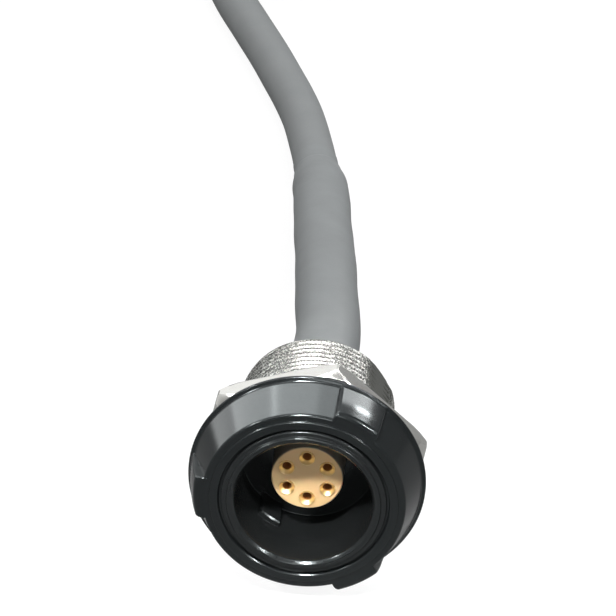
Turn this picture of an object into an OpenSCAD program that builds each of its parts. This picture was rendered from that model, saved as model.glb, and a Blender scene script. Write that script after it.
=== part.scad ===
// Round panel connector with a keyed six-contact socket, a lugged front ring,
// a threaded barrel with its panel nut, and a grey cable in a shrink sleeve.
// The axis lies along Y: the socket opens towards -Y and the cable leaves towards +Y.
// The origin is the centre of the front ring's face. Angles run counter-clockwise from +X,
// as seen by someone who looks into the socket.

/* [Barrel and nut] */
// Radius over the barrel's thread; the shell and the ring follow it
thread_r = 10; // [9.5:0.1:11]
// Distance of the barrel's rear end from the ring's face
barrel_end = 23.9; // [22.5:0.1:26]
// Thickness of the barrel's wall round the shell
barrel_wall = 1; // [0.8:0.05:1.2]
// Depth of the flat along one side of the thread
flat_depth = 0.4; // [0.3:0.05:0.6]
// Angle that the flat faces
flat_angle = 32; // [0:1:90]
// How much lower the thread is under the nut than behind it
seat_relief = 0.2; // [0.2:0.05:0.3]
// Nut size across the flats
nut_af = 27; // [26:0.5:30]
// Nut thickness
nut_t = 2.9; // [2.5:0.1:3.5]
// Angle of a corner of the nut
nut_angle = 16.3; // [0:0.1:59]
// Running clearance of the nut on the thread
nut_fit = 0.03; // [0.02:0.01:0.05]
// Width of the lock washer's rim
washer_w = 3.2; // [2:0.1:3.4]
// Washer thickness
washer_t = 0.6; // [0.4:0.1:0.8]

/* [Front ring] */
// Width of the gap between the shell and the ring's front face
ring_gap = 0.9; // [0.5:0.1:1.1]
// Width of the ring's front face
ring_face_w = 2.1; // [1.8:0.1:2.8]
// How much wider the flared wall is at its back than at the face
flare = 1.5; // [1:0.1:2]
// How far the flange stands out of the wall's back end
flange_h = 0.7; // [0.5:0.05:1]
// Length of the ring along the axis
ring_len = 6; // [5.8:0.1:7]
// Thickness of the flange at the back of the ring
flange_t = 1.2; // [1:0.1:1.6]
// Depth of the step round the edge of the face
face_step = 0.25; // [0.2:0.05:0.4]
// Rounding of the wall's front edge
ring_round = 0.3; // [0.2:0.05:0.4]
// Depth of the gap between the ring and the shell
ring_groove = 0.6; // [0.5:0.1:1.5]
// Number of lugs
lug_count = 3; // [2:1:4]
// Width of a lug
lug_w = 6.4; // [5:0.2:8]
// How far a lug stands out of the wall at the face
lug_h = 1.1; // [0.8:0.05:1.3]
// Rounding of a lug's front edge
lug_round = 0.8; // [0.5:0.05:0.8]
// Angle of the first lug
lug_angle = 60; // [0:5:120]

/* [Shell] */
// How far the shell stands out of the ring
shell_proud = 0.25; // [0.2:0.05:0.4]
// Thickness of the shell's wall inside the barrel
shell_wall = 0.85; // [0.7:0.05:1]
// Height of the step between the socket's mouth and its inner bore
socket_step = 0.5; // [0.2:0.05:0.6]
// Length of the socket's mouth, from the shell's rim
socket_len = 6.1; // [5:0.1:6.2]
// Width of the key rib
key_w = 3.1; // [2:0.1:4]
// Height of the key rib above the inner bore
key_h = 0.8; // [0.5:0.1:1.2]
// Angle of the key rib
key_angle = 234; // [0:1:359]

/* [Contacts and insulators] */
// Number of contacts
contact_count = 6; // [3:1:6]
// Diameter of the circle of contacts
contact_pcd = 5.9; // [5.7:0.1:6.2]
// Outer radius of a contact
contact_r = 1; // [0.85:0.05:1]
// Radius of a contact's pin hole
pin_hole_r = 0.6; // [0.4:0.05:0.6]
// Radius of the insulator column
column_r = 4.55; // [4.4:0.05:5]
// Depth of the insulator's face below the ring's face
column_y = 5.9; // [5.7:0.1:6.5]
// Thickness of the rear insulator
rear_insulator_t = 4.1; // [3.5:0.1:4.5]

/* [Cable] */
// Cable diameter
cable_d = 6.5; // [6:0.1:6.8]
// Radius of the shrink sleeve where it leaves the barrel
sleeve_r = 4.4; // [4.2:0.1:4.6]
// Radius of the shrink sleeve near its far end
sleeve_end_r = 4.1; // [3.9:0.1:4.2]
// Radius of a core's insulation
core_r = 0.65; // [0.5:0.05:0.7]

/* [Hidden] */
$fn = 96;
CORES = [for (i = [1 : contact_count]) i];

// A cut runs this far past the face that it opens
past = 1;
// Gap between a moving piece and the piece that it rests against
touch = 0.05;

// Radii of the shell and the ring, from the thread outwards and inwards
shell_r = thread_r - seat_relief;
spigot_r = thread_r - barrel_wall;
inner_r = spigot_r - shell_wall;
socket_r = inner_r + socket_step;
ring_mouth_r = shell_r + ring_gap;
ring_wall_r = ring_mouth_r + ring_face_w;
wall_end_r = ring_wall_r + flare;
flange_r = wall_end_r + flange_h;
bead_r = ring_wall_r - 0.95;
lug_r = ring_wall_r + lug_h;
lug_end_r = wall_end_r + flange_h / 3;
flat_dist = thread_r - flat_depth;
washer_r = thread_r + washer_w;

// Shell and barrel lengths along the axis
flange_y = ring_len - flange_t;
flange_round = 0.8 * flange_h;
step_y = ring_len - 1.9;
stop_y = 11.5;
spigot_end = stop_y + 3.5;
stop_t = 1;
stop_r = column_r + 0.02;
rim_w = 0.25;
rim_len = 0.7;
mouth_chamfer = 0.3;
key_front_y = 7.6;
barrel_bore_r = spigot_r - 0.5;
barrel_step = 0.6;
barrel_end_r = flat_dist - 0.2;
thread_pitch = 1;
crest_w = 0.4;
root_r = flat_dist + 0.05;

// Nut and washer, and the groove where the thread ends behind them
groove_w = 0.6;
washer_y = ring_len + touch;
nut_y = washer_y + washer_t + touch;
nut_end_y = nut_y + nut_t;
nut_corner_r = nut_af / 2 / cos(30);
nut_chamfer = 0.4;
groove_y = nut_end_y + touch;
seat_end_y = groove_y + groove_w;
washer_bore_r = thread_r + nut_fit;

// Seal in the back of the flange
seal_mid_r = thread_r + 1.6;
seal_r = 0.7;
seal_groove_depth = 2 * seal_r + touch;

// Insulators, retainer and clamp nut
rear_insulator_end = stop_y + rear_insulator_t;
insert_fit = 0.02;
retainer_t = 1.4;
retainer_bore_r = barrel_bore_r - 1.9;
clamp_t = 3;
clamp_recess = 0.5;
clamp_end = barrel_end - clamp_recess;
clamp_y = clamp_end - clamp_t;
clamp_fit = 0.05;
slot_w = 1.6;
slot_depth = 1;

// Contacts
contact_proud = 0.15;
contact_y = column_y - contact_proud;
funnel_r = contact_r - 0.1;
funnel_depth = 0.35;
pin_hole_depth = 5;
contact_shoulder_r = contact_r + 0.25;
contact_shoulder_t = 1;
cup_end = 18.6;
cup_depth = 2.2;
cup_hole_r = contact_r - 0.28;

// Cores, from the solder cups to the cable
conductor_r = core_r - 0.2;
core_y = cup_end + 0.1;
core_end_y = 27;
core_ring_r = 1.7;

// The surface that the part lies on, under the nut's lowest corner
floor_z = -15.15;
cable_r = cable_d / 2;
cord_sides = 12;
lie_z = floor_z + cable_r;

// The cable's way from the clamp nut to the coil: straight out, down to the surface, then to the left
ROUTE = [
    [0, 20, 0], [0, 27, 0], [0, 35, 0], [0, 43, -0.5], [-1, 53, -1.2], [-2.2, 67, -3],
    [-3.4, 79, -5], [-4.6, 92, -7.3], [-5.6, 100, -8.6], [-6.6, 107, -9.6], [-7.8, 114.5, -10.5],
    [-9.8, 125, -11.5], [-12, 133, -11.85], [-14.2, 139.5, lie_z], [-17, 147.5, lie_z],
    [-21, 158, lie_z], [-24.4, 167, lie_z], [-27.8, 178, lie_z], [-30.7, 189.5, lie_z],
    [-32.4, 201, lie_z], [-33, 212, lie_z]
];
// The sleeve ends at this point of the route, with a thin lip on the cable
sleeve_last = 9;
sleeve_lip = 0.35;
sleeve_gap = 0.03;
sleeve_core_r = 3.95;

// The coil of the cable's unused length, with one turn on the other; the top turn is open
coil_centre = [-0.5, 212];
coil_mid_r = 32.5;
coil_turns = 4;
coil_round = 0.9 * cable_r;
coil_top_from = -90;
coil_top_turn = 270;
tie_angle = 20;
tie_w = 8;
tie_t = 0.8;
core_end_turn = 26;
tip_turn = 6;
tip_r = core_r - 0.25;

BLACK_METAL = [0.14, 0.15, 0.16];
BLACK_PLASTIC = [0.08, 0.085, 0.09];
NICKEL = [0.78, 0.78, 0.76];
TAN = [0.76, 0.56, 0.36];
GOLD = [0.85, 0.66, 0.3];
RUBBER = [0.06, 0.06, 0.06];
CABLE_GREY = [0.45, 0.47, 0.47];
SLEEVE_GREY = [0.42, 0.44, 0.44];
TIN = [0.8, 0.8, 0.82];
CORE_COLOURS = ["black", "saddlebrown", "crimson", "darkorange", "gold", "seagreen"];

// Turns a profile of [radius, distance along the axis] about the connector's axis
module revolved() rotate([-90, 0, 0]) rotate_extrude() children();

// Turns a piece that sits on the +X side to an angle about the connector's axis
module at_angle(a) rotate([0, -a, 0]) children();

// Rectangle of a profile, between two radii and two places along the axis
module band(r0, r1, y0, y1) translate([r0, y0]) square([r1 - r0, y1 - y0]);

// The same, with its outer front corner rounded
module rounded_band(r0, r1, y0, y1, round) {
    band(r0, r1 - round, y0, y1);
    band(r0, r1, y0 + round, y1);
    translate([r1 - round, y0 + round]) circle(round);
}

function contact_angle(i) = 90 + (i - 1) * 360 / contact_count;
function unit(v) = v / norm(v);

// Direction of a route at one of its points
function heading(points, i) =
    unit(points[min(i + 1, len(points) - 1)] - points[max(i - 1, 0)]);

// A ring of points about one point of a route
function ring_at(points, i, r) =
    let (t = heading(points, i), side = unit(cross(t, [0, 0, 1])), up = cross(side, t))
    [for (k = [0 : cord_sides - 1])
        let (a = k * 360 / cord_sides)
        points[i] + r * (cos(a) * side + sin(a) * up)];

// The four-cornered faces between two rings whose points start at a and b
function wall_faces(a, b) =
    [for (k = [0 : cord_sides - 1])
        let (n = (k + 1) % cord_sides)
        [a + k, a + n, b + n, b + k]];

// A solid cord along a route
module cord(points, r) {
    last = len(points) - 1;
    rings = [for (i = [0 : last]) each ring_at(points, i, r)];
    walls = [for (i = [0 : last - 1]) each wall_faces((i + 1) * cord_sides, i * cord_sides)];
    front = [for (k = [0 : cord_sides - 1]) k];
    back = [for (k = [cord_sides - 1 : -1 : 0]) last * cord_sides + k];
    polyhedron(concat(rings), concat(walls, [front], [back]));
}

// A hollow sleeve along a route, with an outer and an inner radius at each point
module sleeve(points, outer, inner) {
    n = len(points);
    inside = n * cord_sides;
    rings = concat(
        [for (i = [0 : n - 1]) each ring_at(points, i, outer[i])],
        [for (i = [0 : n - 1]) each ring_at(points, i, inner[i])]
    );
    outer_wall = [for (i = [0 : n - 2]) each wall_faces((i + 1) * cord_sides, i * cord_sides)];
    inner_wall = [for (i = [0 : n - 2])
        each wall_faces(inside + i * cord_sides, inside + (i + 1) * cord_sides)];
    front = wall_faces(0, inside);
    back = wall_faces(inside + (n - 1) * cord_sides, (n - 1) * cord_sides);
    polyhedron(rings, concat(outer_wall, inner_wall, front, back));
}

module front_ring() color(BLACK_METAL) difference() {
    union() {
        revolved() ring_profile();
        for (i = [0 : lug_count - 1])
            at_angle(lug_angle + i * 360 / lug_count)
                lug();
    }
    revolved() band(0, ring_mouth_r, -past, ring_groove);
    revolved() band(seal_mid_r - seal_r, seal_mid_r + seal_r, ring_len - seal_groove_depth, ring_len + past);
}

// The ring's outline: a face with a step round it, a flared wall, and the flange at the back
module ring_profile() {
    polygon([
        [shell_r, 0], [bead_r, 0], [bead_r, face_step], [ring_wall_r - ring_round, face_step],
        [ring_wall_r, face_step + ring_round], [wall_end_r, flange_y], [wall_end_r, ring_len], [shell_r, ring_len]
    ]);
    translate([ring_wall_r - ring_round, face_step + ring_round]) circle(ring_round);
    rounded_band(shell_r + past, flange_r, flange_y, ring_len, flange_round);
}

// A block on the flared wall that runs forward from the flange to the ring's face
module lug() intersection() {
    lug_end = flange_y + flange_t / 2;
    revolved() {
        polygon([
            [shell_r + past, face_step], [lug_r - lug_round, face_step], [lug_r, face_step + lug_round],
            [lug_end_r, lug_end], [shell_r + past, lug_end]
        ]);
        translate([lug_r - lug_round, face_step + lug_round]) circle(lug_round);
    }
    translate([0, -past, -lug_w / 2]) cube([flange_r + past, ring_len + 2 * past, lug_w]);
}

module receptacle_shell() color(BLACK_PLASTIC) {
    rim_y = -shell_proud;
    mouth_end = rim_y + socket_len;
    difference() {
        revolved() {
            polygon([
                [stop_r, rim_y], [shell_r - rim_w, rim_y], [shell_r, rim_y + rim_len], [shell_r, step_y],
                [stop_r, step_y]
            ]);
            band(stop_r, spigot_r, step_y - past, spigot_end);
        }
        revolved() {
            band(0, socket_r, rim_y - past, mouth_end);
            polygon([
                [0, rim_y - past], [socket_r + mouth_chamfer + past, rim_y - past],
                [socket_r, rim_y + mouth_chamfer], [0, rim_y + mouth_chamfer]
            ]);
            band(0, inner_r, mouth_end - past, stop_y - stop_t);
            band(0, inner_r, stop_y, spigot_end + past);
        }
    }
    key_rib();
}

// The rib on the socket's wall that lets the plug in one way round only
module key_rib() intersection() {
    revolved() band(inner_r - key_h, inner_r + past / 4, key_front_y, stop_y - stop_t / 2);
    at_angle(key_angle) translate([0, 0, -key_w / 2]) cube([inner_r + past, stop_y, key_w]);
}

module threaded_barrel() color(NICKEL) difference() {
    revolved() polygon([
        [spigot_r, step_y], [shell_r, step_y], [shell_r, groove_y], [barrel_end_r, groove_y],
        [barrel_end_r, seat_end_y], [thread_r, seat_end_y],
        [thread_r, barrel_end - barrel_step], [barrel_end_r, barrel_end - barrel_step],
        [barrel_end_r, barrel_end], [barrel_bore_r, barrel_end], [barrel_bore_r, spigot_end],
        [spigot_r, spigot_end]
    ]);
    revolved() thread_grooves();
    at_angle(flat_angle)
        translate([flat_dist, ring_len, -thread_r])
            cube([thread_r, barrel_end - ring_len + past, 2 * thread_r]);
}

// The thread's grooves as rings one pitch apart, counted from the thread's rear end
module thread_grooves() {
    last = barrel_end - barrel_step - crest_w;
    half = (thread_pitch - crest_w) / 2;
    over = 0.1;
    wide = half * (1 + over / (thread_r - root_r));
    for (y = [last - half : -thread_pitch : seat_end_y + crest_w + half])
        polygon([[root_r, y], [thread_r + over, y + wide], [thread_r + over, y - wide]]);
}

module panel_seal() color(RUBBER)
    revolved() translate([seal_mid_r, ring_len - seal_r - touch]) circle(seal_r - touch / 2);

module lock_washer() color(NICKEL) difference() {
    revolved() band(thread_r - past, washer_r, washer_y, washer_y + washer_t);
    intersection() {
        revolved() band(0, washer_bore_r, washer_y - past, washer_y + washer_t + past);
        at_angle(flat_angle)
            translate([-2 * thread_r, washer_y - past, -2 * thread_r])
                cube([2 * thread_r + flat_dist + nut_fit, washer_t + 2 * past, 4 * thread_r]);
    }
}

module hex_nut() color(NICKEL) difference() {
    intersection() {
        at_angle(nut_angle)
            translate([0, nut_y, 0])
                rotate([-90, 0, 0])
                    cylinder(h = nut_t, r = nut_corner_r, $fn = 6);
        revolved() polygon([
            [0, nut_y], [nut_corner_r - nut_chamfer, nut_y], [nut_corner_r + nut_chamfer, nut_y + nut_chamfer],
            [nut_corner_r + nut_chamfer, nut_end_y - nut_chamfer], [nut_corner_r - nut_chamfer, nut_end_y],
            [0, nut_end_y]
        ]);
    }
    revolved() band(0, thread_r + nut_fit, nut_y - past, nut_end_y + past);
}

// Places a piece on the circle of contacts, at the place of contact i
module at_contact(i) at_angle(contact_angle(i)) translate([contact_pcd / 2, 0, 0]) children();

module front_insulator() color(TAN) difference() {
    revolved() rounded_band(0, column_r, column_y, stop_y, 0.2);
    for (i = CORES)
        at_contact(i)
            revolved() band(0, contact_r + insert_fit, column_y - past, stop_y + past);
}

module rear_insulator() color(TAN) difference() {
    revolved() band(0, inner_r - insert_fit, stop_y, rear_insulator_end);
    for (i = CORES)
        at_contact(i) revolved() {
            band(0, contact_shoulder_r + insert_fit, stop_y - past, stop_y + contact_shoulder_t);
            band(0, contact_r + insert_fit, stop_y, rear_insulator_end + past);
        }
}

// A socket contact: funnel mouth and pin hole in front, a shoulder, and a solder cup behind
module contact(i) color(GOLD) at_contact(i) difference() {
    revolved() {
        band(0, contact_r, contact_y, cup_end);
        band(0, contact_shoulder_r, stop_y, stop_y + contact_shoulder_t);
    }
    revolved() {
        polygon([
            [0, contact_y - past], [funnel_r + past, contact_y - past], [funnel_r, contact_y],
            [pin_hole_r, contact_y + funnel_depth], [0, contact_y + funnel_depth]
        ]);
        band(0, pin_hole_r, contact_y, contact_y + pin_hole_depth);
        band(0, cup_hole_r, cup_end - cup_depth, cup_end + past);
    }
    translate([cup_hole_r / 2, cup_end - cup_depth / 2, -contact_r - past])
        cube([contact_r + past, cup_depth, 2 * (contact_r + past)]);
}

// Two spanner slots across the back of a ring nut
module spanner_slots(y, reach)
    translate([-reach - past, y - slot_depth, -slot_w / 2])
        cube([2 * (reach + past), slot_depth + past, slot_w]);

module insert_retainer() color(NICKEL) difference() {
    revolved() band(
        retainer_bore_r, barrel_bore_r - insert_fit, rear_insulator_end, rear_insulator_end + retainer_t
    );
    spanner_slots(rear_insulator_end + retainer_t, barrel_bore_r);
}

module clamp_nut() color(NICKEL) difference() {
    revolved() band(sleeve_r + clamp_fit, barrel_bore_r - insert_fit, clamp_y, clamp_end);
    spanner_slots(clamp_end, barrel_bore_r);
}

// A core: bare strands in the solder cup, then its insulation up to the cable
module core(i) color(CORE_COLOURS[i - 1]) {
    run = core_end_y - core_y;
    inward = contact_pcd / 2 - core_ring_r;
    at_contact(i) {
        revolved() band(0, conductor_r, cup_end - cup_depth, core_y + core_r);
        translate([0, core_y + core_r, 0])
            rotate([0, 0, atan(inward / run)])
                rotate([-90, 0, 0])
                    cylinder(h = run - 2 * core_r, r = core_r);
    }
}

module heat_shrink() color(SLEEVE_GREY) {
    points = [for (i = [0 : sleeve_last]) ROUTE[i]];
    taper = (sleeve_r - sleeve_end_r) / (sleeve_last - 3);
    outer = [for (i = [0 : sleeve_last])
        i == sleeve_last ? cable_r + sleeve_lip : sleeve_r - taper * max(0, i - 2)];
    inner = [for (i = [0 : sleeve_last]) i == 0 ? sleeve_core_r : cable_r + sleeve_gap];
    sleeve(points, outer, inner);
}

module cable() color(CABLE_GREY)
    cord([for (i = [1 : len(ROUTE) - 1]) ROUTE[i]], cable_r);

// Turns a profile of [radius, height over the surface] about the coil's upright axis
module coiled(from = 0, turn = 360)
    translate([coil_centre.x, coil_centre.y, floor_z])
        rotate([0, 0, from])
            rotate_extrude(angle = turn)
                children();

// A rectangle with round corners, by its two opposite corners
module rounded_box(low, high, round) {
    translate([low.x + round, low.y]) square([high.x - low.x - 2 * round, high.y - low.y]);
    translate([low.x, low.y + round]) square([high.x - low.x, high.y - low.y - 2 * round]);
    for (x = [low.x + round, high.x - round], y = [low.y + round, high.y - round])
        translate([x, y]) circle(round);
}

module cable_coil() color(CABLE_GREY) difference() {
    open_turn = 360 - coil_top_turn;
    coiled()
        rounded_box([coil_mid_r - cable_r, 0], [coil_mid_r + cable_r, coil_turns * cable_d], coil_round);
    coiled(coil_top_from - open_turn, open_turn)
        translate([coil_mid_r - cable_d, (coil_turns - 1) * cable_d]) square([2 * cable_d, cable_d + past]);
}

// A strap round all the turns
module coil_tie() color(RUBBER) {
    low = [coil_mid_r - cable_r - tie_t, 0];
    high = [coil_mid_r + cable_r + tie_t, coil_turns * cable_d + tie_t];
    turn = tie_w / coil_mid_r * 180 / PI;
    coiled(tie_angle, turn) difference() {
        rounded_box(low, high, coil_round + tie_t);
        rounded_box(low + [tie_t, tie_t], high - [tie_t, tie_t], coil_round);
    }
}

// The arc of core i beyond the cut end of the cable's jacket, on the coil's open top turn
module core_arc(i, r, from, turn)
    coiled(from - turn, turn)
        translate([
            coil_mid_r + core_ring_r * cos(contact_angle(i)),
            (coil_turns - 0.5) * cable_d + core_ring_r * sin(contact_angle(i))
        ])
            circle(r);

module core_end(i) color(CORE_COLOURS[i - 1]) core_arc(i, core_r, coil_top_from, core_end_turn);

module tinned_tips() color(TIN)
    for (i = CORES) core_arc(i, tip_r, coil_top_from - core_end_turn, tip_turn);

front_ring();
receptacle_shell();
threaded_barrel();
panel_seal();
lock_washer();
hex_nut();
front_insulator();
rear_insulator();
insert_retainer();
clamp_nut();
heat_shrink();
cable();
cable_coil();
coil_tie();
tinned_tips();
for (i = CORES) {
    contact(i);
    core(i);
    core_end(i);
}
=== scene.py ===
"""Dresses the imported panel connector: rounded edges, thread, cable, sleeve, and the finish of each piece.

Lengths are in millimetres until a mesh is made. The connector's axis lies along Y, and the socket opens
towards -Y. An angle about the axis runs counter-clockwise from +X, as seen by someone who looks into the
socket.
"""

import bmesh
import bpy
import numpy as np
from mathutils import Matrix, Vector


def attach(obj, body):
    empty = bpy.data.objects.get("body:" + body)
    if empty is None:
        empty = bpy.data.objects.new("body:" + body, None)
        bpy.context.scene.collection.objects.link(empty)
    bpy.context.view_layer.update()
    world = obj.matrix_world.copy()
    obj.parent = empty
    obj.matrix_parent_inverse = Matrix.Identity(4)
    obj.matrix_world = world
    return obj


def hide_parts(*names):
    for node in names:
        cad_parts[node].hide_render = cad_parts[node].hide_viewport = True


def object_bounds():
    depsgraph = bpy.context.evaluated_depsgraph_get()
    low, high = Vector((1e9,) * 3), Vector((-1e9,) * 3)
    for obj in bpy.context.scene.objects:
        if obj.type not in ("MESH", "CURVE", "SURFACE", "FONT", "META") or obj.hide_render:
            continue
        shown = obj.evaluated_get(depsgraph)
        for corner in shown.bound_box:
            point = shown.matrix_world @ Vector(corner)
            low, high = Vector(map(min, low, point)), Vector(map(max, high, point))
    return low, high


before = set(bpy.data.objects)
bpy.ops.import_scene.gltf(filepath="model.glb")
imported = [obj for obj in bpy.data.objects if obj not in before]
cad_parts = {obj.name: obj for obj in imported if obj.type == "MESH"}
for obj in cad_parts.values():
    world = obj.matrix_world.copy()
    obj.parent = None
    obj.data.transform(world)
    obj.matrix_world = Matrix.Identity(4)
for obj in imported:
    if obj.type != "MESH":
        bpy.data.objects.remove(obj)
cad_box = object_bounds()
MM = 0.001


def smooth(x):
    """0 below 0, 1 above 1, and an S-shaped rise between them."""
    x = np.clip(x, 0.0, 1.0)
    return x * x * (3 - 2 * x)


# Camera: a long lens above the socket's front, on a square picture

PICTURE = 616
SENSOR = 36.0
FOCAL_PIXELS = 4000
EYE = np.array([33.03, -416.89, 271.56])
YAW = np.radians(4.45)
PITCH = np.radians(30.2)
NEAREST = 0.02
FARTHEST = 20


def make_camera():
    """Stands the camera at the eye, turned by yaw about the upright and then tipped down by pitch."""
    right = np.array([np.cos(YAW), np.sin(YAW), 0])
    level = np.array([-np.sin(YAW), np.cos(YAW), 0])
    forward = np.cos(PITCH) * level - np.sin(PITCH) * np.array([0, 0, 1])
    up = np.cross(right, forward)
    data = bpy.data.cameras.new("photo_camera")
    data.sensor_width = SENSOR
    data.lens = SENSOR * FOCAL_PIXELS / PICTURE
    data.clip_start = NEAREST
    data.clip_end = FARTHEST
    camera = bpy.data.objects.new("photo_camera", data)
    turned_to = Matrix(np.array([right, up, -forward]).T.tolist()).to_4x4()
    camera.matrix_world = Matrix.Translation(EYE * MM) @ turned_to
    bpy.context.scene.collection.objects.link(camera)
    bpy.context.scene.camera = camera


make_camera()


# Meshes

SHARP = np.radians(38)
SAME_POINT = 1e-7


def surface(name, points, around=False, along=False):
    """A mesh object from an array of points [rows, columns, 3]. Neighbours share a four-cornered face.

    around joins the last column to the first, and along joins the last row to the first.
    A row that has shrunk to a point becomes a pole.
    """
    rows, columns = points.shape[:2]
    number = np.arange(rows * columns).reshape(rows, columns)
    if around:
        number = np.concatenate([number, number[:, :1]], axis=1)
    if along:
        number = np.concatenate([number, number[:1]], axis=0)
    faces = np.stack([number[:-1, :-1], number[:-1, 1:], number[1:, 1:], number[1:, :-1]], axis=-1)
    mesh = bpy.data.meshes.new(name)
    mesh.from_pydata((points.reshape(-1, 3) * MM).tolist(), [], faces.reshape(-1, 4).tolist())
    shape = bmesh.new()
    shape.from_mesh(mesh)
    bmesh.ops.remove_doubles(shape, verts=shape.verts, dist=SAME_POINT)
    bmesh.ops.recalc_face_normals(shape, faces=shape.faces)
    shape.to_mesh(mesh)
    shape.free()
    mesh.shade_smooth()
    mesh.set_sharp_from_angle(angle=SHARP)
    piece = bpy.data.objects.new(name, mesh)
    bpy.context.scene.collection.objects.link(piece)
    return piece


def place(piece, body, slot, *stands_for):
    """Lets a piece ride on a body and stand for CAD nodes, which it hides. The slot is not used."""
    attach(piece, body)
    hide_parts(*stands_for)


def through(points, per_gap):
    """A smooth line through the points: each gap is a cubic whose end slopes follow the neighbours."""
    points = np.asarray(points, float)
    before = 2 * points[:1] - points[1:2]
    after = 2 * points[-1:] - points[-2:-1]
    padded = np.concatenate([before, points, after])
    slopes = (padded[2:] - padded[:-2]) / 2
    t = np.linspace(0, 1, per_gap, endpoint=False)[:, None]
    hermite = [2 * t**3 - 3 * t**2 + 1, t**3 - 2 * t**2 + t, 3 * t**2 - 2 * t**3, t**3 - t**2]
    ends = [points[:-1], slopes[:-1], points[1:], slopes[1:]]
    gaps = sum(weight[None] * end[:, None] for weight, end in zip(hermite, ends))
    return np.concatenate([gaps.reshape(-1, 3), points[-1:]])


def lengths(path):
    """Distance along a path to each of its points."""
    return np.concatenate([[0], np.cumsum(np.linalg.norm(np.diff(path, axis=0), axis=1))])


def tube(path, radius, sides):
    """Rings of points about a path: each circle lies across the path, from level to upright."""
    direction = np.gradient(path, axis=0)
    direction /= np.linalg.norm(direction, axis=1, keepdims=True)
    level = np.cross(direction, [0, 0, 1])
    level /= np.linalg.norm(level, axis=1, keepdims=True)
    upright = np.cross(level, direction)
    angle = np.linspace(0, 2 * np.pi, sides, endpoint=False)[None, :, None]
    radius = np.broadcast_to(radius, (len(path), sides))[..., None]
    return path[:, None] + radius * (np.cos(angle) * level[:, None] + np.sin(angle) * upright[:, None])


# The cable: out of the clamp nut, down to the surface, off to the left and into its coil

CABLE_D = 6.5
CABLE_SIDES = 32
FLOOR = -15.15
LIE = FLOOR + CABLE_D / 2
ROUTE = [
    (0, 20, 0), (0, 27, 0), (0, 35, 0), (0, 43, -0.5), (-1, 53, -1.2), (-2.2, 67, -3),
    (-3.4, 79, -5), (-4.6, 92, -7.3), (-5.6, 100, -8.6), (-6.6, 107, -9.6), (-7.8, 114.5, -10.5),
    (-9.8, 125, -11.5), (-12, 133, -11.85), (-14.2, 139.5, LIE), (-17, 147.5, LIE),
    (-21, 158, LIE), (-24.4, 167, LIE), (-27.8, 178, LIE), (-30.7, 189.5, LIE),
    (-32.4, 201, LIE), (-33, 212, LIE),
]
ROUTE_STEPS = 8
# The route's points, by number, where the jacket starts and the sleeve ends
JACKET_FROM = 1
SLEEVE_TO = 9
COIL_CENTRE = (-0.5, 212)
COIL_R = 32.5
COIL_END = 1350
COIL_STEP = 4.0
RISE_FROM = 300
RISE_TURN = 60


def coil_line():
    """The coil's turns, one on the other, by the degrees wound from the coil's left side.

    The height is level, apart from an S-shaped rise of one diameter at the end of each turn.
    """
    wound = np.arange(COIL_STEP, COIL_END + 1, COIL_STEP)
    turn, within = np.divmod(wound, 360)
    height = LIE + CABLE_D * (turn + smooth((within - RISE_FROM) / RISE_TURN))
    angle = np.radians(180 - wound)
    x = COIL_CENTRE[0] + COIL_R * np.cos(angle)
    y = COIL_CENTRE[1] + COIL_R * np.sin(angle)
    return np.stack([x, y, height], axis=1)


route_line = through(ROUTE, ROUTE_STEPS)
cable_line = np.concatenate([route_line[JACKET_FROM * ROUTE_STEPS:], coil_line()])


def capped(rings):
    """Rings of a tube, closed at both ends by a ring that has shrunk to its middle."""
    first = np.broadcast_to(rings[0].mean(axis=0), rings[:1].shape)
    last = np.broadcast_to(rings[-1].mean(axis=0), rings[:1].shape)
    return np.concatenate([first, rings, last])


cable = surface("cable_jacket", capped(tube(cable_line, CABLE_D / 2, CABLE_SIDES)), around=True)
place(cable, "connector", "cable_grey", "cable", "cable_coil")


# The shrink sleeve: a tube that swells a little, drops to a lip and ends as a film on the cable

SLEEVE_R = 4.4
SLEEVE_END_R = 4.1
SLEEVE_LIP = 0.35
SLEEVE_TIGHT = 5.2
SLEEVE_FILM = 0.08
SLEEVE_EDGE = 0.5
SLEEVE_BORE = 3.28
SLEEVE_CORE_R = 3.95
SLEEVE_SIDES = 72
SLEEVE_STEPS = 260
SHRINK_LENGTH = 5.5
CORE_ROOM = 7
FALL_FROM = 0.1
FALL_OVER = 0.8
SIDE_SWELL = 0.05
SIDE_SWELL_LENGTH = 5.3
SIDE_SWELL_ANGLE = 1.1
ROUND_SWELL = 0.03
ROUND_SWELL_LENGTH = 2.1


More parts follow.
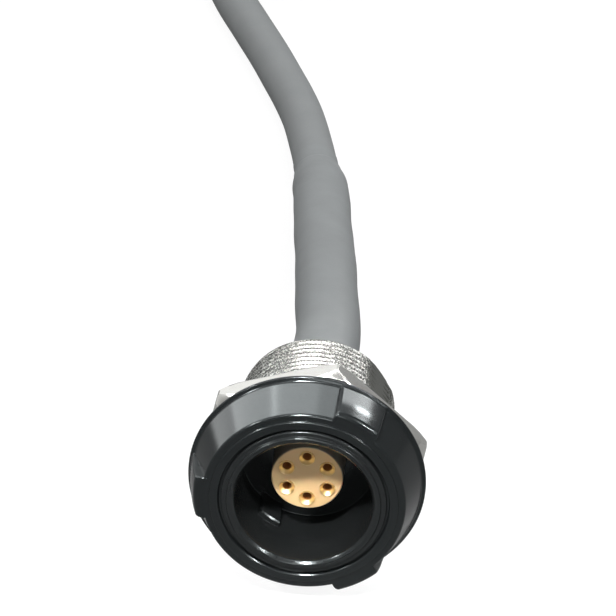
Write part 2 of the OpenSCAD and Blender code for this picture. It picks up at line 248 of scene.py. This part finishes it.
def sleeve_rings():
    """Outer rings from the barrel to the lip, then inner rings back again.

    The outer radius falls from the barrel to the far end, with slow swells, and drops to a lip in an S.
    Past the lip a thin film lies tight on the cable.
    """
    line = route_line[:SLEEVE_TO * ROUTE_STEPS + 1]
    far = lengths(line)
    fine = np.linspace(0, far[-1], SLEEVE_STEPS)
    path = np.stack([np.interp(fine, far, line[:, k]) for k in range(3)], axis=1)
    part = fine / fine[-1]
    lip = CABLE_D / 2 + SLEEVE_LIP
    body_r = SLEEVE_R + (SLEEVE_END_R - SLEEVE_R) * smooth((part - FALL_FROM) / FALL_OVER)
    angle = np.linspace(0, 2 * np.pi, SLEEVE_SIDES, endpoint=False)[None]
    side_swell = SIDE_SWELL * np.sin(fine / SIDE_SWELL_LENGTH)[:, None] * np.cos(angle - SIDE_SWELL_ANGLE)
    swell = side_swell + ROUND_SWELL * np.sin(fine / ROUND_SWELL_LENGTH)[:, None]
    past_lip = fine - fine[-1] + SLEEVE_TIGHT
    shrunk = smooth(past_lip / SHRINK_LENGTH + 1)
    thinned = (SLEEVE_LIP - SLEEVE_FILM) * smooth(past_lip / SLEEVE_EDGE)
    free = ((1 - shrunk) * smooth(part / FALL_FROM))[:, None]
    outer_r = (body_r + (lip - body_r) * shrunk - thinned)[:, None] + swell * free
    outer_r = np.minimum(outer_r, SLEEVE_R)
    inner_r = SLEEVE_BORE + (SLEEVE_CORE_R - SLEEVE_BORE) * (1 - smooth(fine / CORE_ROOM))[:, None]
    outer = tube(path, outer_r, SLEEVE_SIDES)
    inner = tube(path, inner_r, SLEEVE_SIDES)
    return np.concatenate([outer, inner[::-1]])


sleeve = surface("shrink_sleeve", sleeve_rings(), around=True, along=True)
place(sleeve, "connector", "sleeve_grey", "heat_shrink")


# Turned pieces: an outline of radius and place along the axis, carried round

FLAT_BESIDE = 0.12
FLAT_SHARE = 0.3
LEAST_LENGTH = 1e-9
ANGLE_DIGITS = 6


def rounded(corners, steps=6):
    """A closed outline whose corners are arcs, as points of radius and place along the axis.

    Each corner gives its radius, its place and its rounding. The arc that touches both sides stands for
    the corner, and a point beside each end of the arc keeps the side flat.
    """
    corners = np.asarray(corners, float)
    at = corners[:, :2]
    size = corners[:, 2]
    before = at - np.roll(at, 1, axis=0)
    side = np.linalg.norm(before, axis=1)
    into = before / side[:, None]
    out = np.roll(into, -1, axis=0)
    straight = (into * out).sum(axis=1)
    turn = np.arccos(np.clip(straight, -1, 1))
    cut = size * np.tan(turn / 2)
    inwards = out - straight[:, None] * into
    inwards /= np.maximum(np.linalg.norm(inwards, axis=1, keepdims=True), LEAST_LENGTH)
    sweep = np.linspace(0, 1, steps)[None] * turn[:, None]
    start = at - into * cut[:, None]
    ahead = np.sin(sweep)[..., None] * into[:, None]
    across = (1 - np.cos(sweep))[..., None] * inwards[:, None]
    arc = start[:, None] + size[:, None, None] * (ahead + across)
    free = side - cut - np.roll(cut, 1)
    lead = np.minimum(FLAT_BESIDE, FLAT_SHARE * free)[:, None]
    first = arc[:, 0] - into * lead
    last = arc[:, -1] + out * np.roll(lead, -1, axis=0)
    return np.concatenate([first[:, None], arc, last[:, None]], axis=1).reshape(-1, 2)


def round_steps(centres, half, edge, count=240, fine=12):
    """Angles right round the axis, close together where the sides of a raised part fall."""
    even = np.linspace(0, 2 * np.pi, count, endpoint=False)
    fall = half - edge * np.cos(np.linspace(0, np.pi / 2, fine))
    beside = np.array([half - 2 * edge, half + edge])
    sides = np.concatenate([fall, beside])
    close = np.concatenate([np.add.outer(centres, sides), np.subtract.outer(centres, sides)])
    angles = np.concatenate([even, close.ravel() % (2 * np.pi)])
    return np.unique(np.round(angles, ANGLE_DIGITS))


def raised_share(angle, centres, half, edge):
    """1 on a raised part, 0 beside it, and a quarter of an ellipse over the width of its edge."""
    off = np.abs(np.angle(np.exp(1j * np.subtract.outer(angle, centres)))).min(axis=1)
    fall = np.clip((off - half + edge) / edge, 0, 1)
    return np.sqrt(1 - fall**2)


def turned(plain, raised, share, angle):
    """Points of a turned piece: at each angle, a mix of a plain and a raised outline, by the share."""
    outline = plain[:, None] + (raised - plain)[:, None] * share[None, :, None]
    radius = outline[..., 0]
    return np.stack([radius * np.cos(angle), outline[..., 1], radius * np.sin(angle)], axis=-1)


# The lugged ring: a flared wall up to a narrow rim, a stepped face, and a seal groove behind

LUG_ANGLES = np.radians([60, 180, 300])
LUG_AT_R = 13.6
LUG_HALF = 3.2 / LUG_AT_R
LUG_EDGE = 0.55 / LUG_AT_R
RING_BACK = 6.0
RING_BEHIND = [(9.8, RING_BACK, 0.05), (10.9, RING_BACK, 0.05), (10.9, 4.55, 0.05), (12.3, 4.55, 0.05),
               (12.3, RING_BACK, 0.05)]
RING_LIP = [(15, RING_BACK, 0.1), (15, 5.65, 0.2)]
RING_WALL = [(14.5, 5.35, 0.5), (13.595, 2.8, 0), (12.69, 0.25, 0.42)]
RING_LUG = [(14.72, 5.35, 0.5), (14.36, 2.5, 12), (13.78, 0.25, 0.75)]
RING_FACE = [(11.85, 0.25, 0.04), (11.85, 0, 0.2)]
RING_MOUTH = [(10.86, 0, 0.1), (10.7, 0.16, 0.1), (10.7, 0.6, 0.1), (9.8, 0.6, 0.05)]

lug_steps = round_steps(LUG_ANGLES, LUG_HALF, LUG_EDGE)
ring_points = turned(
    rounded(RING_BEHIND + RING_LIP + RING_WALL + RING_FACE + RING_MOUTH),
    rounded(RING_BEHIND + RING_LIP + RING_LUG + RING_FACE + RING_MOUTH),
    raised_share(lug_steps, LUG_ANGLES, LUG_HALF, LUG_EDGE),
    lug_steps,
)
ring = surface("lug_ring", ring_points, around=True, along=True)
place(ring, "connector", "ring_black", "front_ring")


# The shell: a bead in the ring's mouth, a rim, a floor round the column, and a rib that keys the plug

KEY_ANGLE = np.radians([234])
KEY_AT_R = 8.2
KEY_HALF = 1.55 / KEY_AT_R
KEY_EDGE = 0.25 / KEY_AT_R
SHELL_BEHIND = [(4.57, 11.5, 0.05), (8.15, 11.5, 0.05), (8.15, 15, 0.1), (9, 15, 0.1), (9, 4.1, 0.05),
                (9.8, 4.1, 0.05)]
SHELL_BEAD = [(9.8, 0.55, 0.05), (10.4, 0.55, 0.05), (10.4, 0.1, 0.25), (9.75, 0.1, 0.05)]
SHELL_RIM = [(9.58, -0.25, 0.22), (9.1, -0.25, 0.32), (8.65, 0.2, 0.45)]
SHELL_PLAIN = [(8.65, 6.25, 0), (8.65, 6.3, 0), (8.65, 6.45, 0), (8.65, 10.5, 0.1)]
SHELL_KEY = [(8.65, 6.25, 0.05), (8.07, 6.25, 0.06), (7.85, 6.47, 0.06), (7.85, 10.5, 0.05)]
SHELL_FLOOR = [(4.57, 10.5, 0.05)]

key_steps = round_steps(KEY_ANGLE, KEY_HALF, KEY_EDGE)
shell_points = turned(
    rounded(SHELL_BEHIND + SHELL_BEAD + SHELL_RIM + SHELL_PLAIN + SHELL_FLOOR),
    rounded(SHELL_BEHIND + SHELL_BEAD + SHELL_RIM + SHELL_KEY + SHELL_FLOOR),
    raised_share(key_steps, KEY_ANGLE, KEY_HALF, KEY_EDGE),
    key_steps,
)
shell = surface("socket_shell", shell_points, around=True, along=True)
place(shell, "connector", "shell_black", "receptacle_shell")


# The barrel: a seat in the ring, then a fine right-hand thread with one flat along it

THREAD_R = 10.0
THREAD_DEPTH = 0.38
PITCH_MM = 1.0
BARREL_FRONT = 4.1
THREAD_FROM = 7.0
BARREL_END = 23.9
SEAT_R = 9.8
SPIGOT_R = 9.0
SPIGOT_END = 15.0
BARREL_BORE = 8.5
FLAT_DIST = 9.6
FLAT_ANGLE = np.radians(32)
END_CHAMFER = 0.45
THREAD_SIDES = 360
ROWS_PER_TURN = 14
SEAT_STEP = 0.01
FIRST_ROW = 0.05
LEAD_IN = 0.8
ROOT_SHARE = 0.06
FLANK_SHARE = 0.6
FLAT_REACH = 0.6


def thread_rings():
    """Rings of the barrel's outside and bore.

    The outside's radius falls from the crest to the root by a tooth, whose phase is the distance along
    the axis less the turn about it. A flat at one side and a chamfer at the rear end cut it off.
    """
    seat = [BARREL_FRONT, RING_BACK - SEAT_STEP, RING_BACK, THREAD_FROM]
    thread = np.arange(THREAD_FROM + FIRST_ROW, BARREL_END, PITCH_MM / ROWS_PER_TURN)
    y = np.concatenate([seat, thread, [BARREL_END]])
    angle = np.linspace(0, 2 * np.pi, THREAD_SIDES, endpoint=False)
    turn = (np.pi / 2 - angle) / (2 * np.pi)
    phase = (y[:, None] / PITCH_MM - turn[None]) % 1
    flank = np.abs(phase - 0.5) * 2
    tooth = np.clip((flank - ROOT_SHARE) / FLANK_SHARE, 0, 1)
    lead_in = smooth((y - THREAD_FROM) / LEAD_IN)[:, None]
    crest = np.where(y < THREAD_FROM, SEAT_R, THREAD_R)[:, None]
    radius = crest - THREAD_DEPTH * (1 - tooth) * lead_in
    off = np.angle(np.exp(1j * (angle - FLAT_ANGLE)))
    flat_r = FLAT_DIST / np.cos(np.clip(off, -FLAT_REACH, FLAT_REACH))
    flat = np.where(np.abs(off) < FLAT_REACH, flat_r, 2 * THREAD_R)
    radius = np.where(y[:, None] >= RING_BACK, np.minimum(radius, flat[None]), radius)
    radius = np.minimum(radius, (THREAD_R + BARREL_END - END_CHAMFER - y)[:, None])
    bore_y = np.array([BARREL_END, SPIGOT_END, SPIGOT_END, BARREL_FRONT])
    bore_r = np.array([BARREL_BORE, BARREL_BORE, SPIGOT_R, SPIGOT_R])
    radius = np.concatenate([radius, np.repeat(bore_r[:, None], len(angle), axis=1)])
    y = np.concatenate([y, bore_y])
    x = radius * np.cos(angle)
    z = radius * np.sin(angle)
    return np.stack([x, np.broadcast_to(y[:, None], x.shape), z], axis=-1)


barrel = surface("thread_barrel", thread_rings(), around=True, along=True)
place(barrel, "connector", "nickel", "threaded_barrel")


# The panel nut: six flat sides, corners cut by a cone at both faces, and rounded edges

NUT_FLATS = 27.0
NUT_CORNER = np.radians(16.3)
NUT_FRONT = 6.7
NUT_REAR = 9.6
NUT_BORE = 10.03
NUT_MOUTH = 0.4
NUT_FACE_R = 14.75
NUT_CORNER_R = 15.5
NUT_EDGE = 0.14
NUT_EDGE_TOP = 0.3 * NUT_EDGE
NUT_EDGE_FLAT = 3 * NUT_EDGE
SIXTH = np.pi / 3
BESIDE_CORNER = np.radians([0, 0.25, 0.57, 0.7, 1.4, 3, 4.4])
ALONG_SIDE = np.radians(np.arange(8, 53, 4))


def nut_rings():
    """Rings of the nut, from the bore over the front face, the sides and the rear face.

    A side lies at half the width over flats, divided by the cosine of the angle from the side's middle.
    The faces end on a circle that the corners pass, and a cone of 45 degrees leads from there to the side.
    """
    steps = np.concatenate([-BESIDE_CORNER[:0:-1], BESIDE_CORNER, ALONG_SIDE])
    angle = np.add.outer(NUT_CORNER + SIXTH * np.arange(6), steps).ravel()
    from_middle = (angle - NUT_CORNER) % SIXTH - SIXTH / 2
    hexagon = NUT_FLATS / 2 / np.cos(from_middle)
    wall = np.minimum(hexagon, NUT_CORNER_R)
    rim = np.minimum(hexagon, NUT_FACE_R)
    lift = wall - rim
    bore = np.full_like(angle, NUT_BORE)
    level = np.zeros_like(angle)
    face_r = [bore, bore + NUT_MOUTH, rim - NUT_EDGE_FLAT, rim - NUT_EDGE]
    face_y = [level + NUT_MOUTH, level, level, level]
    half_r = face_r + [rim - NUT_EDGE_TOP, wall, wall]
    half_y = face_y + [level + NUT_EDGE_TOP, lift + NUT_EDGE, lift + NUT_EDGE_FLAT]
    radius = np.stack(half_r + half_r[::-1])
    y = np.stack([NUT_FRONT + rise for rise in half_y] + [NUT_REAR - rise for rise in half_y[::-1]])
    return np.stack([radius * np.cos(angle), y, radius * np.sin(angle)], axis=-1)


nut = surface("panel_nut", nut_rings(), around=True, along=True)
place(nut, "nut", "nickel", "hex_nut")


# The contacts: a funnel and a pin hole in front, a shoulder, and a solder cup that is open on one side

CONTACT_CIRCLE_R = 2.95
CONTACT_FRONT = 5.75
FUNNEL_DEPTH = 0.5
FUNNEL_END = CONTACT_FRONT + FUNNEL_DEPTH
PIN_HOLE_R = 0.56
PIN_HOLE_END = 10.75
CONTACT_R = 1
SHOULDER_R = 1.25
CUP_R = 0.72
PIN_HOLE = [(0, PIN_HOLE_END, 0), (PIN_HOLE_R, PIN_HOLE_END, 0), (PIN_HOLE_R, FUNNEL_END, 0.05)]
CONTACT_MOUTH = [(0.96, CONTACT_FRONT, 0.02), (CONTACT_R, CONTACT_FRONT, 0.01)]
CONTACT_SHOULDER = [(CONTACT_R, 11.5, 0.02), (SHOULDER_R, 11.5, 0.02), (SHOULDER_R, 12.5, 0.02),
                    (CONTACT_R, 12.5, 0.02)]
CUP_WHOLE = [(CONTACT_R, 18.6, 0.03), (CUP_R, 18.6, 0.03)]
CUP_OPEN = [(CONTACT_R, 17.5, 0.03), (CUP_R, 17.5, 0.03)]
CUP_FLOOR = [(CUP_R, 16.4, 0), (0, 16.4, 0)]
CUP_HALF = np.radians(64)
CUP_EDGE = np.radians(4)
CONTACT_SIDES = 72
CONTACT_STEPS = 4


def contact_points(around_axis):
    """Points of one contact: its outline is turned about its own axis, and the cup opens outwards."""
    steps = round_steps(np.zeros(1), CUP_HALF, CUP_EDGE, CONTACT_SIDES, CONTACT_STEPS)
    front = PIN_HOLE + CONTACT_MOUTH + CONTACT_SHOULDER
    whole = rounded(front + CUP_WHOLE + CUP_FLOOR, CONTACT_STEPS)[1:-1]
    opened = rounded(front + CUP_OPEN + CUP_FLOOR, CONTACT_STEPS)[1:-1]
    share = raised_share(steps, np.zeros(1), CUP_HALF, CUP_EDGE)
    middle = CONTACT_CIRCLE_R * np.array([np.cos(around_axis), 0, np.sin(around_axis)])
    return middle + turned(whole, opened, share, steps + around_axis)


for number in range(1, 7):
    around_axis = np.pi / 2 + (number - 1) * np.pi / 3
    contact = surface(f"socket_contact_{number}", contact_points(around_axis), around=True)
    place(contact, "connector", "contact_gold", f"contact_{number}")


# Finishes

class Value:
    """A shader socket that takes part in Python expressions: each operator adds a Math node."""

    def __init__(self, graph, socket):
        self.graph = graph
        self.socket = socket

    def math(self, operation, first, second):
        """A Math node's result from two values."""
        return self.graph.node("ShaderNodeMath", {"operation": operation}, {0: first, 1: second})

    def __add__(self, other):
        return self.math("ADD", self, other)

    __radd__ = __add__

    def __mul__(self, other):
        return self.math("MULTIPLY", self, other)

    __rmul__ = __mul__

    def __rsub__(self, other):
        return self.math("SUBTRACT", other, self)

    def __pow__(self, other):
        return self.math("POWER", self, other)

    def larger(self, other):
        """The larger of two values."""
        return self.math("MAXIMUM", self, other)

    def between(self, low, high):
        """0 at low, 1 at high and straight between them."""
        settings = {"clamp": True}
        inputs = {"Value": self, "From Min": low, "From Max": high}
        return self.graph.node("ShaderNodeMapRange", settings, inputs, "Result")


class Graph:
    """The nodes of a material or of the world, added one by one."""

    def __init__(self, tree, shader):
        self.tree = tree
        self.shader = tree.nodes[shader]

    def node(self, kind, settings=None, inputs=None, output=0):
        """Adds a node: its settings first, then a value or a link for each named or numbered socket."""
        made = self.tree.nodes.new(kind)
        for setting, value in (settings or {}).items():
            setattr(made, setting, value)
        for socket, value in (inputs or {}).items():
            self.feed(made.inputs[socket], value)
        return Value(self, made.outputs[output])

    def feed(self, socket, value):
        """Links a socket, or sets its fixed value; a colour of three parts is opaque."""
        if isinstance(value, Value):
            self.tree.links.new(value.socket, socket)
        elif isinstance(value, tuple) and len(value) == 3 and socket.type == "RGBA":
            socket.default_value = (*value, 1)
        else:
            socket.default_value = value

    def set(self, **inputs):
        """Feeds the shader's sockets, named with underscores for spaces."""
        for name, value in inputs.items():
            self.feed(self.shader.inputs[name.replace("_", " ")], value)

    def blend(self, share, first, second):
        """A colour between two others."""
        inputs = {"Factor": share, 6: first, 7: second}
        return self.node("ShaderNodeMix", {"data_type": "RGBA"}, inputs, 2)

    def seen(self, in_mirrors):
        """1 for a ray from the camera or a clear piece, a share of that from a mirror, and 0 for others."""
        kinds = ("Is Camera Ray", "Is Glossy Ray", "Is Transmission Ray")
        camera, glossy, clear = [self.node("ShaderNodeLightPath", output=kind) for kind in kinds]
        return camera.larger(in_mirrors * glossy).larger(clear)


class Finish(Graph):
    """A material with one Principled shader, whose fixed values are given by name."""

    def __init__(self, name, **fixed):
        self.material = bpy.data.materials.new(name)
        self.material.use_nodes = True
        super().__init__(self.material.node_tree, "Principled BSDF")
        self.set(**fixed)

    def where(self):
        """The place on the piece, in metres."""
        return self.node("ShaderNodeTexCoord", output="Object")

    def noise(self, scale, detail, stretch=(1, 1, 1)):
        """Noise from 0 to 1, with its size set in features per metre."""
        vector = self.node("ShaderNodeMapping", {}, {"Vector": self.where(), "Scale": stretch})
        inputs = {"Vector": vector, "Scale": scale, "Detail": detail}
        return self.node("ShaderNodeTexNoise", {}, inputs, "Fac")

    def bump(self, height, strength, distance):
        """A normal tipped by a height that stands out by a distance in metres."""
        inputs = {"Height": height, "Strength": strength, "Distance": distance}
        return self.node("ShaderNodeBump", {}, inputs)

    def xyz(self):
        """The place in millimetres, as three values."""
        split = [self.node("ShaderNodeSeparateXYZ", {}, {0: self.where()}, axis) for axis in "XYZ"]
        return [part * (1 / MM) for part in split]


# Heights of grain in metres, and the widths in millimetres over which one tone gives way to the next, where
# shade is painted on the thread, the column's side and the pin holes
COARSE = 0.0001
FINE = 0.00005
CREST_BAND = 0.05
FLAT_FROM = 0.03
FLAT_FULL = 0.015
SIDE_FROM = 0.1
SIDE_FULL = 0.25
HOLE_FROM = 0.1
HOLE_FULL = 0.15


def nickel():
    """Bright nickel with a faint grain along the axis."""
    f = Finish("bright_nickel", Metallic=1.0)
    wear = f.noise(900, 4.0)
    fine = f.noise(2600, 2.0, (1, 0.25, 1))
    f.set(
        Base_Color=f.blend(wear, (0.80, 0.80, 0.76), (0.90, 0.90, 0.87)),
        Roughness=0.14 + 0.1 * fine,
        Normal=f.bump(fine, 0.05, COARSE),
    )
    return f.material


def thread_nickel():
    """Nickel with fine pits, with painted shade in the thread's roots and on the milled flat."""
    f = Finish("thread_nickel", Metallic=1.0)
    x, _, z = f.xyz()
    radius = (x * x + z * z) ** 0.5
    # Painted shade: the thread's roots are coloured far darker than its crests
    crest = radius.between(THREAD_R - THREAD_DEPTH, THREAD_R - CREST_BAND)
    towards_flat = x * float(np.cos(FLAT_ANGLE)) + z * float(np.sin(FLAT_ANGLE))
    # Painted shade: the milled flat is coloured dark grey
    flat = towards_flat.between(FLAT_DIST - FLAT_FROM, FLAT_DIST - FLAT_FULL)
    wear = f.noise(5200, 3.0)
    tone = f.blend(crest, (0.06, 0.06, 0.055), (0.68, 0.69, 0.655))
    spotted = f.blend(wear.between(0.42, 0.52), tone, (0.12, 0.12, 0.115))
    f.set(
        Base_Color=f.blend(flat, spotted, (0.17, 0.175, 0.16)),
        Roughness=0.3 + 0.16 * wear,
        Normal=f.bump(wear, 0.42, COARSE),
    )
    return f.material


def black_gloss():
    """Glossy black of the lugged ring."""
    f = Finish("black_gloss", Specular_IOR_Level=0.4, Specular_Tint=(0.9, 0.99, 1.0))
    cloud = f.noise(260, 3.0)
    grain = f.noise(5200, 2.0)
    f.set(
        Base_Color=f.blend(cloud, (0.004, 0.0048, 0.005), (0.007, 0.008, 0.0083)),
        Roughness=0.14 + 0.08 * grain,
        Normal=f.bump(grain, 0.03, FINE),
    )
    return f.material


def black_moulding():
    """Black of the shell, a little duller than the ring."""
    f = Finish("black_moulding", Specular_IOR_Level=0.32, Specular_Tint=(0.9, 0.99, 1.0))
    cloud = f.noise(300, 3.0)
    grain = f.noise(6500, 2.0)
    f.set(
        Base_Color=f.blend(cloud, (0.006, 0.0068, 0.007), (0.010, 0.0108, 0.011)),
        Roughness=0.17 + 0.08 * grain,
        Normal=f.bump(grain, 0.06, FINE),
    )
    return f.material


TAN_DARK = (0.88, 0.55, 0.235)
TAN_LIGHT = (0.94, 0.63, 0.295)
# Painted shade: the column's side behind its face, darker and greyer than the tan
COLUMN_SIDE_PAINTED_SHADE = (0.24, 0.215, 0.17)


def tan_moulding(name, side_dark, side_light):
    """Tan plastic, whose tones behind the column's face are given by themselves; on the front column they
    are a painted shade.
    """
    f = Finish(name, Subsurface_Weight=0.1, Subsurface_Scale=0.0006)
    cloud = f.noise(500, 4.0)
    grain = f.noise(7000, 2.0)
    _, y, _ = f.xyz()
    # Where the side tones are darker than the face, this mask carries a painted shade
    side = y.between(CONTACT_FRONT + SIDE_FROM, CONTACT_FRONT + SIDE_FULL)
    face_tone = f.blend(cloud, TAN_DARK, TAN_LIGHT)
    side_tone = f.blend(cloud, side_dark, side_light)
    f.set(
        Base_Color=f.blend(side, face_tone, side_tone),
        Roughness=0.42 + 0.12 * grain,
        Normal=f.bump(grain, 0.08, FINE),
    )
    return f.material


def gold():
    """Gold on the funnels, and a dull brown as painted shade in the pin holes and on all behind them."""
    f = Finish("contact_gold")
    wear = f.noise(2200, 3.0)
    _, y, _ = f.xyz()
    # Painted shade: a dull, less metallic brown in the pin holes and behind them
    painted_shade_behind = y.between(FUNNEL_END - HOLE_FROM, FUNNEL_END + HOLE_FULL)
    bright = f.blend(wear, (0.92, 0.66, 0.30), (0.97, 0.80, 0.46))
    f.set(
        Base_Color=f.blend(painted_shade_behind, bright, (0.34, 0.13, 0.035)),
        Metallic=1.0 - 0.8 * painted_shade_behind,
        Roughness=0.38 + 0.12 * wear,
        Normal=f.bump(wear, 0.05, FINE),
    )
    return f.material


def matt(name, dark, light, roughness):
    """A matt finish between two tones, with a fine grain."""
    f = Finish(name, Specular_IOR_Level=0.4)
    cloud = f.noise(220, 4.0)
    grain = f.noise(3800, 3.0)
    f.set(
        Base_Color=f.blend(cloud, dark, light),
        Roughness=roughness + 0.12 * grain,
        Normal=f.bump(grain, 0.15, COARSE),
    )
    return f.material


def tinned():
    """Tinned strands, uneven and fairly bright."""
    f = Finish("tinned_strands", Metallic=1.0)
    strands = f.noise(5200, 2.0)
    f.set(
        Base_Color=f.blend(strands, (0.5, 0.5, 0.5), (0.8, 0.8, 0.81)),
        Roughness=0.3 + 0.15 * strands,
        Normal=f.bump(strands, 0.3, COARSE),
    )
    return f.material


def dress(material, *names):
    """Gives the named pieces one material in place of any other."""
    for name in names:
        piece = bpy.data.objects[name]
        piece.data.materials.clear()
        piece.data.materials.append(material)


CORE_TONES = {
    "black": ((0.015, 0.015, 0.016), (0.03, 0.03, 0.03)),
    "brown": ((0.16, 0.06, 0.02), (0.22, 0.09, 0.03)),
    "red": ((0.45, 0.02, 0.02), (0.55, 0.03, 0.03)),
    "orange": ((0.65, 0.17, 0.02), (0.75, 0.22, 0.03)),
    "yellow": ((0.7, 0.5, 0.04), (0.8, 0.6, 0.06)),
    "green": ((0.03, 0.28, 0.09), (0.05, 0.35, 0.12)),
}

dress(nickel(), "panel_nut", "lock_washer", "insert_retainer", "clamp_nut")
dress(thread_nickel(), "thread_barrel")
dress(black_gloss(), "lug_ring")
dress(black_moulding(), "socket_shell")
# The front column's side gets a painted shade
dress(tan_moulding("column_tan_painted_shade", COLUMN_SIDE_PAINTED_SHADE, COLUMN_SIDE_PAINTED_SHADE), "front_insulator")
dress(tan_moulding("rear_tan", TAN_DARK, TAN_LIGHT), "rear_insulator")
dress(gold(), *[f"socket_contact_{i}" for i in range(1, 7)])
dress(matt("black_rubber", (0.012, 0.012, 0.012), (0.022, 0.022, 0.022), 0.5), "panel_seal", "coil_tie")
dress(matt("sleeve_grey", (0.19, 0.2, 0.203), (0.24, 0.254, 0.258), 0.5), "shrink_sleeve")
dress(matt("cable_grey", (0.195, 0.206, 0.208), (0.232, 0.243, 0.246), 0.52), "cable_jacket")
for number, (tone, (dark, light)) in enumerate(CORE_TONES.items(), 1):
    dress(matt(f"core_{tone}", dark, light, 0.4), f"core_{number}", f"core_end_{number}")
dress(tinned(), "tinned_tips")


# Studio: a white floor, a surround that is brightest at the left behind the connector, and soft lamps

FLOOR_SIZE = 4.0
FLOOR_TONE = (0.16, 0.16, 0.16)
FLOOR_GLOW = (0.9, 0.9, 0.9)
FLOOR_IN_MIRRORS = 0.18
BRIGHT_SIDE = (-0.6, 0.6, 0.53)
SURROUND_DARK = (0.25, 0.25, 0.25)
SURROUND_BRIGHT = (1.0, 1.0, 1.0)
SURROUND_EVEN = (0.07, 0.07, 0.07)
LEAN_FROM = 0.2
LEAN_TO = 0.95
LIT_POINT = np.array([0, 1, -1])
SPOT_DISTANCE = 300
SPOT_CONE = np.radians(8)
SPOT_BLEND = 0.7


def make_floor():
    """A square floor, white to the camera and grey to the lamps."""
    side = np.array([-FLOOR_SIZE, FLOOR_SIZE]) / 2 / MM
    x, y = np.meshgrid(side, side)
    floor = surface("floor", np.stack([x, y, np.full_like(x, cad_box[0].z / MM)], axis=-1))
    f = Finish("floor_white", Base_Color=FLOOR_TONE, Roughness=0.9, Specular_IOR_Level=0.0)
    glow = f.blend(f.seen(FLOOR_IN_MIRRORS), (0, 0, 0), FLOOR_GLOW)
    f.set(Emission_Color=glow, Emission_Strength=1.0)
    floor.data.materials.append(f.material)


def make_world():
    """White to the camera, dim and even to matt pieces, and brighter to one side in mirrors.

    That side's share is the dot product of a direction and the bright side's, spread over a band.
    """
    world = bpy.data.worlds.new("studio")
    world.use_nodes = True
    bpy.context.scene.world = world
    g = Graph(world.node_tree, "Background")
    direction = g.node("ShaderNodeTexCoord", output="Generated")
    inputs = {0: direction, 1: BRIGHT_SIDE}
    lean = g.node("ShaderNodeVectorMath", {"operation": "DOT_PRODUCT"}, inputs, "Value")
    shade = g.blend(lean.between(LEAN_FROM, LEAN_TO), SURROUND_DARK, SURROUND_BRIGHT)
    camera = g.node("ShaderNodeLightPath", output="Is Camera Ray")
    glossy = g.node("ShaderNodeLightPath", output="Is Glossy Ray")
    unseen = g.blend(glossy, SURROUND_EVEN, shade)
    g.set(Color=g.blend(camera, unseen, (1, 1, 1)), Strength=1.0)


def stand_lamp(name, data, towards, distance, along=(1, 0, 0)):
    """Stands a lamp in a direction from the lit point, which it faces, with its length along a line."""
    back = np.array(towards) / np.linalg.norm(towards)
    side = np.array(along) - np.dot(along, back) * back
    side /= np.linalg.norm(side)
    turned_to = Matrix(np.array([side, np.cross(back, side), back]).T.tolist()).to_4x4()
    stand = bpy.data.objects.new(name, data)
    stand.matrix_world = Matrix.Translation((LIT_POINT + distance * back) * MM) @ turned_to
    stand.visible_camera = False
    bpy.context.scene.collection.objects.link(stand)


def panel_lamp(name, towards, distance, size, brightness, along=(1, 0, 0)):
    """A flat lamp of a length and a width, by how bright its face looks beside a white wall."""
    data = bpy.data.lights.new(name, "AREA")
    data.shape = "RECTANGLE"
    data.size = size[0] * MM
    data.size_y = size[1] * MM
    data.energy = brightness * np.pi * data.size * data.size_y
    stand_lamp(name, data, towards, distance, along)


def spot_lamp(name, towards, size, watts):
    """A round lamp of a width and a power, whose light falls in a narrow cone."""
    data = bpy.data.lights.new(name, "SPOT")
    data.energy = watts
    data.shadow_soft_size = size / 2 * MM
    data.spot_size = SPOT_CONE
    data.spot_blend = SPOT_BLEND
    stand_lamp(name, data, towards, SPOT_DISTANCE)


make_floor()
make_world()
panel_lamp("top_strip", (-0.188, 0.35, 0.92), 520, (350, 75), 8.5, (-0.977, 0.049, -0.207))
panel_lamp("top_right_strip", (0.28, 0.345, 0.895), 520, (150, 75), 6.0, (0.95, 0.0, -0.3))
panel_lamp("left_back_strip", (-0.665, 0.4, 0.63), 520, (340, 75), 7.2, (-0.645, 0.133, -0.751))
panel_lamp("left_strip", (-0.85, 0.48, 0.2), 520, (200, 75), 3.0, (-0.3, 0.1, -0.95))
panel_lamp("right_back_strip", (0.43, 0.68, 0.59), 420, (190, 115), 7.0, (0.7, 0.02, -0.6))
panel_lamp("lug_glow", (0.58, 0.575, 0.577), 420, (70, 48), 42.0, (0.7, 0.02, -0.6))
panel_lamp("zenith_strip", (-0.05, -0.26, 0.965), 500, (520, 80), 2.6)
panel_lamp("right_fill", (0.75, -0.2, 0.63), 450, (200, 200), 1.4)
spot_lamp("socket_spot", (-0.1, -0.54, 0.835), 54, 13.5)
spot_lamp("front_glint", (-0.13, -0.53, 0.84), 8, 2.0)
spot_lamp("left_glint", (-0.695, -0.3, 0.65), 10, 1.8)
spot_lamp("right_glint", (0.69, -0.47, 0.55), 22, 1.8)
panel_lamp("front_strip", (0.0, -0.46, 0.89), 400, (620, 12), 7.0)
panel_lamp("low_front", (0.1, -0.9, 0.4), 450, (130, 130), 10.0)
bpy.context.scene.view_settings.view_transform = "Standard"
